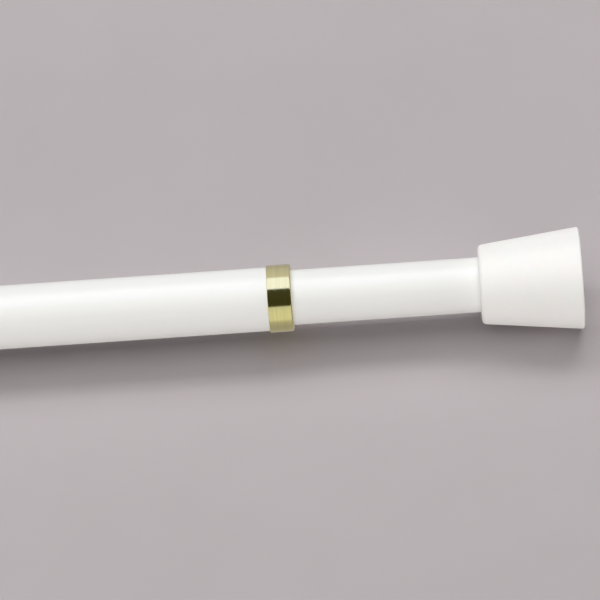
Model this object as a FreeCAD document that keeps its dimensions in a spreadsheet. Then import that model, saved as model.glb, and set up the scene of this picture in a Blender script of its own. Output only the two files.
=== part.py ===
import FreeCAD, Part
import math
import os
import Sketcher

# A telescoping spring tension rod of five-eighths inch tube, lying along X.
# X is zero at the wall face of the fixed end tip, and grows towards the sliding end.
# The outer tube carries a brass trim ring at its mouth. The inner tube slides out of it.
# Inside, a slotted sleeve is spread by a wedge nut when the inner tube is twisted,
# and a coil spring between that lock and the inner tube presses the tips on the walls.

doc = FreeCAD.newDocument("TensionRod")
sheet = doc.addObject("Spreadsheet::Sheet", "sizes")

drivingSizes = [
    # the two tubes
    ("outerTubeDiameter", 15.875),
    ("outerTubeWall", 0.5),
    ("outerTubeLength", 426.3),
    ("innerTubeDiameter", 13.7),
    ("innerTubeWall", 0.5),
    ("shownLength", 46.7),
    # bare bore between the fixed end disc and the lock
    ("lockRoom", 76.25),
    # clearances on the radius: pressed or glued seats, and pieces that run
    ("seatClearance", 0.02),
    ("runningClearance", 0.08),
    # brass trim ring and the nylon liner behind its lip
    ("ringLength", 6),
    ("ringWall", 0.42),
    ("ringLip", 0.5),
    ("ringFrontRound", 0.7),
    ("linerLength", 22),
    ("linerFlange", 0.6),
    # moulded vinyl tips
    ("tipLength", 25.4),
    ("tipFaceDiameter", 25.4),
    ("tipMouthDiameter", 20),
    ("tipFloor", 3.4),
    ("tipFaceChamfer", 0.5),
    ("tipMouthRound", 1.6),
    # steel discs that keep the tube ends from cutting through the tips
    ("discThickness", 1),
    # guide bushing crimped in the inner end of the inner tube
    ("bushingFlange", 2),
    ("bushingNeck", 14),
    ("crimpOffset", 6),
    ("crimpWidth", 2.4),
    ("crimpDepth", 0.35),
    # lock shaft: screw, journal, collar and hexagonal plunger
    ("screwDiameter", 8),
    ("journalDiameter", 8.4),
    ("collarDiameter", 13.4),
    ("collarThickness", 2.5),
    ("hexAcrossFlats", 7),
    ("shaftTail", 2.6),
    ("screwTipRoom", 1),
    ("tailChamfer", 0.6),
    ("clipSeatDiameter", 5.6),
    # slotted expander sleeve
    ("sleeveLength", 26),
    ("sleeveMouthDiameter", 12.8),
    ("sleeveThroatDiameter", 9.2),
    ("taperLength", 15),
    ("slotWidth", 1.6),
    ("slotLength", 19),
    ("slotCount", 4),
    # wedge nut with a key for each of the sleeve's slots
    ("wedgeLength", 13),
    ("wedgeInsert", 9),
    ("wedgeTravel", 3),
    ("keyWidth", 1.4),
    ("keyGap", 0.3),
    ("stopGap", 0.5),
    # spring, washers, clip and stop screw
    ("springLength", 46),
    ("springDiameter", 10.8),
    ("wireDiameter", 1.2),
    ("closedTurnGap", 0.024),
    ("activeTurns", 6),
    ("runsPerTurn", 16),
    ("wireFlats", 6),
    ("washerDiameter", 13.4),
    ("washerThickness", 0.8),
    ("bufferDiameter", 11.6),
    ("bufferThickness", 1.2),
    ("clipDiameter", 11),
    ("clipThickness", 0.8),
    ("clipOpeningShare", 0.85),
    ("clipNotchDiameter", 2.2),
    ("clipNotchAngle", 36.87),
    ("stopWasherDiameter", 11),
    ("screwShankDiameter", 3),
    ("screwShankLength", 8),
    ("screwHeadDiameter", 5.7),
    ("screwHeadHeight", 1.65),
    ("screwHeadChamfer", 0.6),
    ("screwSocketAcrossFlats", 2),
    ("screwSocketDepth", 1.04),
]
for row, (alias, value) in enumerate(drivingSizes, start=1):
    sheet.set(f"A{row}", alias)
    sheet.set(f"B{row}", str(value))
    sheet.setAlias(f"B{row}", alias)
doc.recompute()

# Radii that several pieces share
outerTubeRadius = "sizes.outerTubeDiameter / 2"
outerTubeBore = "(sizes.outerTubeDiameter / 2 - sizes.outerTubeWall)"
innerTubeRadius = "sizes.innerTubeDiameter / 2"
innerTubeBore = "(sizes.innerTubeDiameter / 2 - sizes.innerTubeWall)"
screwRadius = "sizes.screwDiameter / 2"
journalRadius = "sizes.journalDiameter / 2"
hexCornerRadius = "(sizes.hexAcrossFlats / 2 / cos(30 deg))"
hexBoreCornerRadius = f"{hexCornerRadius} + sizes.runningClearance"
taperSlope = "((sizes.sleeveMouthDiameter - sizes.sleeveThroatDiameter) / 2 / sizes.taperLength)"

# A cut runs this far out past the surface that it opens
pastSurface = " + 1"
# A quarter round is cut into this many straight runs
roundRuns = 2

# Stations along X of what shows, from the fixed wall face to the sliding one
outerTubeStart = "sizes.tipFloor + sizes.discThickness"
outerTubeEnd = outerTubeStart + " + sizes.outerTubeLength"
ringFace = outerTubeEnd + " + sizes.linerFlange + sizes.ringLip"
slidingFace = ringFace + " + sizes.shownLength + sizes.tipLength"
innerTubeEnd = slidingFace + " - sizes.tipFloor - sizes.discThickness"

# Stations of the lock and the spring inside the outer tube, each built on the one before
stopScrewStart = outerTubeStart + " + sizes.lockRoom"
stopWasherStart = stopScrewStart + " + sizes.screwHeadHeight"
shaftStart = stopWasherStart + " + sizes.washerThickness"
wedgeStart = shaftStart + " + sizes.stopGap + sizes.wedgeTravel"
sleeveStart = wedgeStart + " + sizes.wedgeLength - sizes.wedgeInsert"
sleeveEnd = sleeveStart + " + sizes.sleeveLength"
collarEnd = sleeveEnd + " + sizes.washerThickness + sizes.collarThickness"
springStart = collarEnd + " + sizes.washerThickness"
springEnd = springStart + " + sizes.springLength"
bushingStart = springEnd + " + sizes.washerThickness"
innerTubeStart = bushingStart + " + sizes.bushingFlange"
bushingEnd = innerTubeStart + " + sizes.bushingNeck"
innerTubeLength = f"({innerTubeEnd}) - ({innerTubeStart})"

allBodies = []


def newBody(name, station, turnedRound=False):
    """An empty body at a station along X; turned round, its own X points back along the rod."""
    body = doc.addObject("PartDesign::Body", name)
    body.Label = name
    if turnedRound:
        body.Placement.Rotation = FreeCAD.Rotation(FreeCAD.Vector(0, 0, 1), 180)
    body.setExpression("Placement.Base.x", station)
    allBodies.append(body)
    return body


def originFeature(body, role):
    return [feature for feature in body.Origin.OriginFeatures if feature.Role == role][0]


def newSketch(body, name, plane, offset=None):
    sketch = body.newObject("Sketcher::SketchObject", name)
    sketch.AttachmentSupport = (originFeature(body, plane), "")
    sketch.MapMode = "FlatFace"
    if offset:
        sketch.setExpression("AttachmentOffset.Base.z", offset)
    return sketch


def bind(sketch, kind, references, expression):
    """One dimension of a sketch, held by an expression. Its first value only has to be positive."""
    index = sketch.addConstraint(Sketcher.Constraint(kind, *references, 1))
    name = f"{kind}{index}"
    sketch.renameConstraint(index, name)
    sketch.setExpression("Constraints." + name, expression)


def placePoint(sketch, line, along, across):
    """Puts a line's first point at (along, across); "0" puts it on an axis of the sketch."""
    for kind, axis, expression in (("DistanceX", -2, along), ("DistanceY", -1, across)):
        if expression == "0":
            sketch.addConstraint(Sketcher.Constraint("PointOnObject", line, 1, axis))
        else:
            bind(sketch, kind, (-1, 1, line, 1), expression)


def closedOutline(sketch, corners):
    """A closed outline of straight lines through corners, each a pair of expressions."""
    first = sketch.GeometryCount
    count = len(corners)
    guesses = [FreeCAD.Vector(1 + i, 1 + i % 3, 0) for i in range(count)]
    for i in range(count):
        sketch.addGeometry(Part.LineSegment(guesses[i], guesses[(i + 1) % count]), False)
    for i in range(count):
        joint = Sketcher.Constraint("Coincident", first + i, 2, first + (i + 1) % count, 1)
        sketch.addConstraint(joint)
    for i, (along, across) in enumerate(corners):
        placePoint(sketch, first + i, along, across)


def rectangle(sketch, low, high):
    closedOutline(sketch, [low, (high[0], low[1]), high, (low[0], high[1])])


def centredCircle(sketch, radius):
    circle = Part.Circle(FreeCAD.Vector(0, 0, 0), FreeCAD.Vector(0, 0, 1), 1)
    index = sketch.addGeometry(circle, False)
    sketch.addConstraint(Sketcher.Constraint("Coincident", index, 3, -1, 1))
    bind(sketch, "Radius", (index,), radius)


def centredHexagon(sketch, cornerRadius):
    """A regular hexagon about the sketch's origin, with two corners on its upright axis."""
    first = sketch.GeometryCount
    sides = 6
    sixth = FreeCAD.Rotation(FreeCAD.Vector(0, 0, 1), 360 / sides)
    corners = [FreeCAD.Vector(0, 1, 0)]
    for i in range(sides - 1):
        corners.append(sixth.multVec(corners[-1]))
    for i in range(sides):
        sketch.addGeometry(Part.LineSegment(corners[i], corners[(i + 1) % sides]), False)
    circle = Part.Circle(FreeCAD.Vector(0, 0, 0), FreeCAD.Vector(0, 0, 1), 1)
    guide = sketch.addGeometry(circle, True)
    sketch.addConstraint(Sketcher.Constraint("Coincident", guide, 3, -1, 1))
    bind(sketch, "Radius", (guide,), cornerRadius)
    for i in range(sides):
        sketch.addConstraint(Sketcher.Constraint("Coincident", first + i, 2, first + (i + 1) % sides, 1))
        sketch.addConstraint(Sketcher.Constraint("PointOnObject", first + i, 1, guide))
    for i in range(sides - 1):
        sketch.addConstraint(Sketcher.Constraint("Equal", first + i, first + i + 1))
    sketch.addConstraint(Sketcher.Constraint("PointOnObject", first, 1, -2))


def padAlong(body, sketch, length, name):
    feature = body.newObject("PartDesign::Pad", name)
    feature.Profile = sketch
    feature.setExpression("Length", length)
    doc.recompute()
    return feature


def boreThrough(body, sketch, name):
    """Cuts a section on the YZ plane right through the body."""
    feature = body.newObject("PartDesign::Pocket", name)
    feature.Profile = sketch
    feature.Reversed = True
    feature.Type = "ThroughAll"
    doc.recompute()
    return feature


def turn(body, corners, name="Turned"):
    """A solid of revolution about X from a closed outline of (along, radius) corners."""
    sketch = newSketch(body, name + "Outline", "XZ_Plane")
    closedOutline(sketch, corners)
    feature = body.newObject("PartDesign::Revolution", name)
    feature.Profile = sketch
    feature.ReferenceAxis = (sketch, ["H_Axis"])
    feature.Angle = 360
    doc.recompute()
    return feature


def turnedGroove(body, low, high, name):
    """Cuts a ring about X whose section is the rectangle between two (along, radius) corners."""
    sketch = newSketch(body, name + "Outline", "XZ_Plane")
    rectangle(sketch, low, high)
    feature = body.newObject("PartDesign::Groove", name)
    feature.Profile = sketch
    feature.ReferenceAxis = (sketch, ["H_Axis"])
    feature.Angle = 360
    doc.recompute()
    return feature


def roundedCorner(along, across, radius):
    """Stations on a quarter round that ends an outline's upper edge, cut into straight runs."""
    stations = []
    for i in range(roundRuns + 1):
        angle = f"{90 * i / roundRuns:g} deg"
        back = f"{along} - {radius} * (1 - sin({angle}))"
        down = f"{across} - {radius} * (1 - cos({angle}))"
        stations.append((back, down))
    return stations


def polarCopies(body, feature, count, name):
    """Even copies of a feature round X, as many as the count's expression says."""
    pattern = body.newObject("PartDesign::PolarPattern", name)
    pattern.Originals = [feature]
    pattern.Axis = (originFeature(body, "X_Axis"), [""])
    pattern.Angle = 360
    pattern.setExpression("Occurrences", count)
    body.Tip = pattern
    doc.recompute()
    return pattern


def makeOuterTube():
    """Plain drawn tube: a ring padded along X."""
    body = newBody("outer_tube", outerTubeStart)
    sketch = newSketch(body, "TubeSection", "YZ_Plane")
    centredCircle(sketch, outerTubeRadius)
    centredCircle(sketch, outerTubeBore)
    padAlong(body, sketch, "sizes.outerTubeLength", "Tube")


def crimpStations(tubeStart, radius):
    """The three stations of the crimp's rolled-in groove on a surface of this radius."""
    near = f"{tubeStart} + sizes.crimpOffset"
    return [
        (near, radius),
        (near + " + sizes.crimpWidth / 2", f"{radius} - sizes.crimpDepth"),
        (near + " + sizes.crimpWidth", radius),
    ]


def makeInnerTube():
    """Drawn tube with a rolled-in crimp near its inner end, which holds the guide bushing."""
    body = newBody("inner_tube", innerTubeStart)
    outside = crimpStations("0", innerTubeRadius)
    inside = crimpStations("0", innerTubeBore)
    turn(body, [("0", innerTubeRadius)] + outside + [
        (innerTubeLength, innerTubeRadius), (innerTubeLength, innerTubeBore),
    ] + inside[::-1] + [("0", innerTubeBore)])


def makeTrimRing():
    """Spun brass ferrule: a skirt round the tube and a lip turned in over its mouth."""
    body = newBody("trim_ring", ringFace + " - sizes.ringLength")
    skirt = outerTubeRadius + " + sizes.seatClearance"
    outside = skirt + " + sizes.ringWall"
    lipBore = innerTubeRadius + " + 2 * sizes.runningClearance"
    shoulder = "sizes.ringLength - sizes.ringLip"
    front = roundedCorner("sizes.ringLength", outside, "sizes.ringFrontRound")
    turn(body, [("0", skirt), ("0", outside)] + front + [
        ("sizes.ringLength", lipBore), (shoulder, lipBore), (shoulder, skirt),
    ])


def makeMouthLiner():
    """Flanged nylon bush in the outer tube's mouth, in which the inner tube slides."""
    body = newBody("mouth_liner", outerTubeEnd + " - sizes.linerLength")
    bore = innerTubeRadius + " + sizes.runningClearance"
    outside = outerTubeBore + " - sizes.seatClearance"
    end = "sizes.linerLength + sizes.linerFlange"
    turn(body, [
        ("0", bore), ("0", outside),
        ("sizes.linerLength", outside), ("sizes.linerLength", outerTubeRadius),
        (end, outerTubeRadius), (end, bore),
    ])


def makeTip(name, station, turnedRound, tubeRadius):
    """Moulded vinyl tip: a blunt cone with a flat wall face and a socket for the tube."""
    body = newBody(name, station, turnedRound)
    socket = tubeRadius + " + sizes.seatClearance"
    mouth = roundedCorner("sizes.tipLength", "sizes.tipMouthDiameter / 2", "sizes.tipMouthRound")
    rim = "sizes.tipFaceDiameter / 2"
    turn(body, [
        ("0", "0"), ("0", rim + " - sizes.tipFaceChamfer"), ("sizes.tipFaceChamfer", rim),
    ] + mouth + [
        ("sizes.tipLength", socket), ("sizes.tipFloor", socket), ("sizes.tipFloor", "0"),
    ])


def makeEndDisc(name, station, tubeRadius):
    """Steel disc between a tube's end and the floor of its tip."""
    body = newBody(name, station)
    sketch = newSketch(body, "DiscSection", "YZ_Plane")
    centredCircle(sketch, tubeRadius)
    padAlong(body, sketch, "sizes.discThickness", "Disc")


def makeGuideBushing():
    """Bushing crimped in the inner tube: its flange runs in the outer tube, its bore on the hexagon."""
    body = newBody("guide_bushing", bushingStart)
    neck = innerTubeBore + " - sizes.seatClearance"
    flange = outerTubeBore + " - sizes.runningClearance"
    end = "sizes.bushingFlange + sizes.bushingNeck"
    # a pilot bore well inside the hexagon, which takes it away
    core = "sizes.hexAcrossFlats / 4"
    turn(body, [
        ("0", core), ("0", flange), ("sizes.bushingFlange", flange), ("sizes.bushingFlange", neck),
    ] + crimpStations("sizes.bushingFlange", neck) + [(end, neck), (end, core)])
    sketch = newSketch(body, "HexagonBoreSection", "YZ_Plane")
    centredHexagon(sketch, hexBoreCornerRadius)
    boreThrough(body, sketch, "HexagonBore")


def makeLockShaft():
    """One moulded shaft: screw end, journal, spring collar and hexagonal plunger with a clip seat."""
    body = newBody("lock_shaft", shaftStart)
    hole = "sizes.screwShankDiameter / 2 + sizes.seatClearance"
    holeEnd = "sizes.screwShankLength - sizes.washerThickness + sizes.screwTipRoom"
    proud = "(sizes.wedgeLength - sizes.wedgeInsert + sizes.wedgeTravel + sizes.stopGap)"
    screwEnd = proud + " + sizes.taperLength"
    collarNear = proud + " + sizes.sleeveLength + sizes.washerThickness"
    collarFar = collarNear + " + sizes.collarThickness"
    plunger = (
        "(2 * sizes.washerThickness + sizes.springLength + sizes.bushingFlange + sizes.bushingNeck"
        " + sizes.bufferThickness + sizes.clipThickness + sizes.shaftTail)"
    )
    end = collarFar + " + " + plunger
    core = "sizes.hexAcrossFlats / 2"
    chamfer = " - sizes.tailChamfer"
    turn(body, [
        ("0", hole), ("0", screwRadius), (screwEnd, screwRadius), (screwEnd, journalRadius),
        (collarNear, journalRadius), (collarNear, "sizes.collarDiameter / 2"),
        (collarFar, "sizes.collarDiameter / 2"), (collarFar, core),
        (end + chamfer, core), (end, core + chamfer), (end, "0"), (holeEnd, "0"), (holeEnd, hole),
    ])
    sketch = newSketch(body, "PlungerSection", "YZ_Plane", collarFar)
    centredHexagon(sketch, hexCornerRadius)
    padAlong(body, sketch, plunger + chamfer, "Plunger")
    seatEnd = end + " - sizes.shaftTail"
    seatStart = seatEnd + " - sizes.clipThickness"
    seatFloor = "sizes.clipSeatDiameter / 2"
    turnedGroove(body, (seatStart, seatFloor), (seatEnd, hexCornerRadius + pastSurface), "ClipSeat")


def makeExpanderSleeve():
    """Sleeve that grips the outer tube: a tapered mouth and four slots let it spread."""
    body = newBody("expander_sleeve", sleeveStart)
    outside = outerTubeBore + " - sizes.runningClearance / 2"
    bore = journalRadius + " + sizes.runningClearance"
    mouth = "sizes.sleeveMouthDiameter / 2"
    throat = "sizes.sleeveThroatDiameter / 2"
    turn(body, [
        ("0", mouth), ("0", outside), ("sizes.sleeveLength", outside), ("sizes.sleeveLength", bore),
        ("sizes.taperLength", bore), ("sizes.taperLength", throat),
    ])
    sketch = newSketch(body, "SlotOutline", "XZ_Plane")
    # from well inside the bore out through the wall
    rectangle(sketch, ("0", "sizes.screwDiameter / 4"), ("sizes.slotLength", outside + pastSurface))
    slot = body.newObject("PartDesign::Pocket", "Slot")
    slot.Profile = sketch
    slot.Midplane = True
    slot.setExpression("Length", "sizes.slotWidth")
    doc.recompute()
    polarCopies(body, slot, "sizes.slotCount", "Slots")


def makeWedgeNut():
    """Cone on the screw that spreads the sleeve, with keys that stop it turning."""
    body = newBody("wedge_nut", wedgeStart)
    bore = screwRadius + " + sizes.runningClearance"
    mouth = "sizes.sleeveMouthDiameter / 2 - sizes.runningClearance / 2"
    large = mouth + f" + {taperSlope} * (sizes.wedgeLength - sizes.wedgeInsert)"
    small = mouth + f" - {taperSlope} * sizes.wedgeInsert"
    turn(body, [
        ("0", bore), ("0", large), ("sizes.wedgeLength", small), ("sizes.wedgeLength", bore),
    ])
    # the keys start halfway into the thinnest wall of the cone
    keyRoot = f"({bore} + {small}) / 2"
    keyTop = outerTubeBore + " - sizes.keyGap"
    sketch = newSketch(body, "KeyOutline", "XZ_Plane")
    rectangle(sketch, ("0", keyRoot), ("sizes.wedgeLength", keyTop))
    key = body.newObject("PartDesign::Pad", "Key")
    key.Profile = sketch
    key.Midplane = True
    key.setExpression("Length", "sizes.keyWidth")
    doc.recompute()
    polarCopies(body, key, "sizes.slotCount", "Keys")


def makeWasher(name, station, diameter, bore):
    """Plain washer with a round bore, given as a radius."""
    body = newBody(name, station)
    sketch = newSketch(body, "WasherSection", "YZ_Plane")
    centredCircle(sketch, diameter + " / 2")
    centredCircle(sketch, bore)
    padAlong(body, sketch, "sizes.washerThickness", "Washer")


def makeKeyedWasher(name, station, diameter, thickness):
    """Washer whose hexagonal bore rides on the plunger without turning."""
    body = newBody(name, station)
    sketch = newSketch(body, "WasherSection", "YZ_Plane")
    centredCircle(sketch, diameter + " / 2")
    centredHexagon(sketch, hexBoreCornerRadius)
    padAlong(body, sketch, thickness, "Washer")


def makeRetainingClip():
    """Sprung clip in the plunger's seat: its opening is a little narrower than the seat,
    and two round notches below its middle leave three lugs that hold on."""
    body = newBody("retaining_clip", bushingEnd + " + sizes.bufferThickness")
    bore = "(sizes.clipSeatDiameter / 2 + sizes.seatClearance)"
    outside = "sizes.clipDiameter / 2"
    turn(body, [
        ("0", bore), ("0", outside), ("sizes.clipThickness", outside), ("sizes.clipThickness", bore),
    ])
    sketch = newSketch(body, "OpeningOutline", "XZ_Plane")
    rectangle(sketch, ("0", bore + " / 4"), ("sizes.clipThickness", outside + pastSurface))
    opening = body.newObject("PartDesign::Pocket", "Opening")
    opening.Profile = sketch
    opening.Midplane = True
    opening.setExpression("Length", "2 * sizes.clipOpeningShare * " + bore)
    doc.recompute()
    sketch = newSketch(body, "NotchSection", "YZ_Plane")
    aside = bore + " * cos(sizes.clipNotchAngle * 1 deg)"
    below = bore + " * sin(sizes.clipNotchAngle * 1 deg)"
    for side in (1, -1):
        circle = Part.Circle(FreeCAD.Vector(side, -1, 0), FreeCAD.Vector(0, 0, 1), 1)
        index = sketch.addGeometry(circle, False)
        bind(sketch, "Radius", (index,), "sizes.clipNotchDiameter / 2")
        bind(sketch, "DistanceX", (-1, 1, index, 3) if side > 0 else (index, 3, -1, 1), aside)
        bind(sketch, "DistanceY", (index, 3, -1, 1), below)
    boreThrough(body, sketch, "Notches")


def makeStopScrew():
    """Button-headed screw with a hexagonal socket, in the end of the lock shaft."""
    body = newBody("stop_screw", stopScrewStart)
    head = "sizes.screwHeadDiameter / 2"
    shank = "sizes.screwShankDiameter / 2"
    chamfer = "sizes.screwHeadChamfer"
    end = "sizes.screwHeadHeight + sizes.screwShankLength"
    turn(body, [
        ("0", "0"), ("0", f"{head} - {chamfer}"), (chamfer, head), ("sizes.screwHeadHeight", head),
        ("sizes.screwHeadHeight", shank), (end, shank), (end, "0"),
    ])
    sketch = newSketch(body, "SocketSection", "YZ_Plane")
    centredHexagon(sketch, "sizes.screwSocketAcrossFlats / 2 / cos(30 deg)")
    socket = body.newObject("PartDesign::Pocket", "Socket")
    socket.Profile = sketch
    socket.Reversed = True
    socket.setExpression("Length", "sizes.screwSocketDepth")
    doc.recompute()


def springPath():
    """Points along the wire's centre line about X: a closed turn, the open turns, a closed turn."""
    runs = int(sheet.runsPerTurn)
    openTurns = int(sheet.activeTurns)
    coilRadius = sheet.springDiameter / 2
    closedPitch = sheet.wireDiameter + sheet.closedTurnGap
    openPitch = (sheet.springLength - 2 * closedPitch) / openTurns
    points = []
    along = 0
    for i in range((openTurns + 2) * runs + 1):
        angle = 2 * math.pi * i / runs
        points.append(FreeCAD.Vector(along, coilRadius * math.cos(angle), coilRadius * math.sin(angle)))
        isOpen = runs <= i < (openTurns + 1) * runs
        along += (openPitch if isOpen else closedPitch) / runs
    return points


def makeSpring():
    """Compression spring, its wire swept in short straight runs and its ends ground flat."""
    path = springPath()
    flats = int(sheet.wireFlats)
    wireRadius = sheet.wireDiameter / 2
    heading = (path[1] - path[0]).normalize()
    side = heading.cross(FreeCAD.Vector(0, 0, 1)).normalize()
    up = side.cross(heading)
    section = []
    for i in range(flats + 1):
        angle = 2 * math.pi * i / flats
        outward = side * math.cos(angle) + up * math.sin(angle)
        section.append(path[0] + outward * wireRadius)
    wire = Part.makePolygon(path).makePipeShell([Part.makePolygon(section)], True, False, 1)
    reach = sheet.springDiameter
    seats = Part.makeBox(sheet.springLength, 2 * reach, 2 * reach, FreeCAD.Vector(0, -reach, -reach))
    spring = doc.addObject("Part::Feature", "compression_spring")
    spring.Label = "compression_spring"
    spring.Shape = wire.common(seats)
    spring.setExpression("Placement.Base.x", springStart)
    allBodies.append(spring)


makeOuterTube()
makeInnerTube()
makeTrimRing()
makeMouthLiner()
makeTip("fixed_end_tip", "0", False, outerTubeRadius)
makeTip("sliding_end_tip", slidingFace, True, innerTubeRadius)
makeEndDisc("fixed_end_disc", "sizes.tipFloor", outerTubeRadius)
makeEndDisc("sliding_end_disc", innerTubeEnd, innerTubeRadius)
makeGuideBushing()
makeLockShaft()
makeExpanderSleeve()
makeWedgeNut()
makeWasher("thrust_washer", sleeveEnd, "sizes.washerDiameter", journalRadius + " + sizes.runningClearance")
makeWasher("stop_washer", stopWasherStart, "sizes.stopWasherDiameter",
           "sizes.screwShankDiameter / 2 + sizes.seatClearance")
makeKeyedWasher("collar_washer", collarEnd, "sizes.washerDiameter", "sizes.washerThickness")
makeKeyedWasher("bushing_washer", springEnd, "sizes.washerDiameter", "sizes.washerThickness")
makeKeyedWasher("buffer_washer", bushingEnd, "sizes.bufferDiameter", "sizes.bufferThickness")
makeRetainingClip()
makeStopScrew()
makeSpring()
doc.recompute()

for thing in doc.Objects:
    if "Invalid" in thing.State or "Error" in thing.State:
        raise RuntimeError(f"{thing.Label} did not build: {thing.State}")
for body in allBodies:
    if body.Shape.isNull() or not body.Shape.isValid() or not body.Shape.Solids:
        raise RuntimeError(f"{body.Label} has no valid solid")

os.makedirs("parts", exist_ok=True)
for body in allBodies:
    body.Shape.exportStep(f"parts/{body.Label}.step")
    box = body.Shape.BoundBox
    print(f"{body.Label}: x {box.XMin:.2f} to {box.XMax:.2f}, radius {box.ZMax:.2f},"
          f" solids {len(body.Shape.Solids)}, volume {body.Shape.Volume:.1f}")
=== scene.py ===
import math

import bmesh
import bpy
import numpy as np
from mathutils import Matrix, Vector


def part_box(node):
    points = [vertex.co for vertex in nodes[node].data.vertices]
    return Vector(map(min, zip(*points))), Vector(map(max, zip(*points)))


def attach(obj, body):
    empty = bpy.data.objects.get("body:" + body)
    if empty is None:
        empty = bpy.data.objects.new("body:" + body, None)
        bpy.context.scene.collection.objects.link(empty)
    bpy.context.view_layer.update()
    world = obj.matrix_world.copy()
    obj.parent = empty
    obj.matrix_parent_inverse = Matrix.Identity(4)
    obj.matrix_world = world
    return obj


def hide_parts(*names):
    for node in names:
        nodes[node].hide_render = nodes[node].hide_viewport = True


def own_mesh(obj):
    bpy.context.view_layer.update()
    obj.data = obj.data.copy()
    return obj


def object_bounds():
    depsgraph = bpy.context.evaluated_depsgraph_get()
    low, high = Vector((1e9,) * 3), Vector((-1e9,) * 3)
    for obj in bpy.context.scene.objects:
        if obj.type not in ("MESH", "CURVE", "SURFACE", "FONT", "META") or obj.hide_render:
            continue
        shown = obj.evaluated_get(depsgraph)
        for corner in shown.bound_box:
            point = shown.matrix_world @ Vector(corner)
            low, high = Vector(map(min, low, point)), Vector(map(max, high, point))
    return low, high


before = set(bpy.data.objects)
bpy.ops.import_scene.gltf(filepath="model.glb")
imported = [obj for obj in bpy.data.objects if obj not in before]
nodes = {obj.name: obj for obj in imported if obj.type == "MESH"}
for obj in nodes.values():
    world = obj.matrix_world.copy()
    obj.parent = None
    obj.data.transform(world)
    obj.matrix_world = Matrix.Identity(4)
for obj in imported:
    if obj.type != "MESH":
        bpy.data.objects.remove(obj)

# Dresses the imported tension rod: paint, brass, vinyl, nylon and steel, with rounded edges,
# a wound spring and a cut thread. Shapes are worked out in millimetres along the rod's own
# X axis, and become metres where a mesh is made.

cadLow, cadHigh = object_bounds()
millimetre = 0.001
fullTurn = 2 * math.pi
print("frame loaded:", len(nodes), "nodes")


# An empty node group with the named sockets, each given as (name, type, value).
def newGroup(name, inputs, outputs):
    group = bpy.data.node_groups.new(name, "ShaderNodeTree")
    for label, kind, value in inputs:
        socket = group.interface.new_socket(name=label, in_out="INPUT", socket_type=kind)
        if value is not None:
            socket.default_value = value
    for label, kind in outputs:
        group.interface.new_socket(name=label, in_out="OUTPUT", socket_type=kind)
    return group, group.nodes.new("NodeGroupInput"), group.nodes.new("NodeGroupOutput")


# One node: settings are its properties, and links fill its inputs, from a socket or a plain value.
def addNode(tree, kind, links=None, **settings):
    node = tree.nodes.new(kind)
    for key, value in settings.items():
        setattr(node, key, value)
    for key, source in (links or {}).items():
        if isinstance(source, bpy.types.NodeSocket):
            tree.links.new(source, node.inputs[key])
        else:
            node.inputs[key].default_value = source
    return node


# Colour that drifts softly between two tones, as paint and mouldings do under even light:
# a broad noise, stretched to full contrast, mixes the dark tone with the light one.
def makeMottleGroup():
    group, given, result = newGroup(
        "softMottle",
        [("Vector", "NodeSocketVector", None), ("Scale", "NodeSocketFloat", 60.0),
         ("Light Tone", "NodeSocketColor", (1, 1, 1, 1)),
         ("Dark Tone", "NodeSocketColor", (0.9, 0.9, 0.9, 1))],
        [("Color", "NodeSocketColor"), ("Mask", "NodeSocketFloat")])
    broad = addNode(group, "ShaderNodeTexNoise", {
        "Vector": given.outputs["Vector"], "Scale": given.outputs["Scale"],
        "Detail": 3.0, "Roughness": 0.55})
    spread = addNode(group, "ShaderNodeMapRange", {
        "Value": broad.outputs["Fac"], "From Min": 0.32, "From Max": 0.68})
    blend = addNode(group, "ShaderNodeMix", {
        "Factor": spread.outputs["Result"], 6: given.outputs["Dark Tone"],
        7: given.outputs["Light Tone"]}, data_type="RGBA")
    group.links.new(blend.outputs[2], result.inputs["Color"])
    group.links.new(spread.outputs["Result"], result.inputs["Mask"])
    return group


handling = {"scuffsFiner": 9.0, "scuffShare": 0.35}


# Roughness between two values: broad smears from handling, plus a share of a much finer noise,
# for scuffs.
def makeHandlingGroup():
    group, given, result = newGroup(
        "handlingMarks",
        [("Vector", "NodeSocketVector", None), ("Scale", "NodeSocketFloat", 80.0),
         ("Smooth", "NodeSocketFloat", 0.25), ("Rough", "NodeSocketFloat", 0.4)],
        [("Roughness", "NodeSocketFloat")])
    smears = addNode(group, "ShaderNodeTexNoise", {
        "Vector": given.outputs["Vector"], "Scale": given.outputs["Scale"],
        "Detail": 4.0, "Distortion": 0.6})
    closer = addNode(group, "ShaderNodeMath", {
        0: given.outputs["Scale"], 1: handling["scuffsFiner"]}, operation="MULTIPLY")
    scuffs = addNode(group, "ShaderNodeTexNoise", {
        "Vector": given.outputs["Vector"], "Scale": closer.outputs[0], "Detail": 2.0})
    total = addNode(group, "ShaderNodeMath", {
        0: scuffs.outputs["Fac"], 1: handling["scuffShare"], 2: smears.outputs["Fac"]},
        operation="MULTIPLY_ADD")
    level = addNode(group, "ShaderNodeMapRange", {
        "Value": total.outputs[0], "From Min": 0.5, "From Max": 0.85,
        "To Min": given.outputs["Smooth"], "To Max": given.outputs["Rough"]})
    group.links.new(level.outputs["Result"], result.inputs["Roughness"])
    return group


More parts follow.
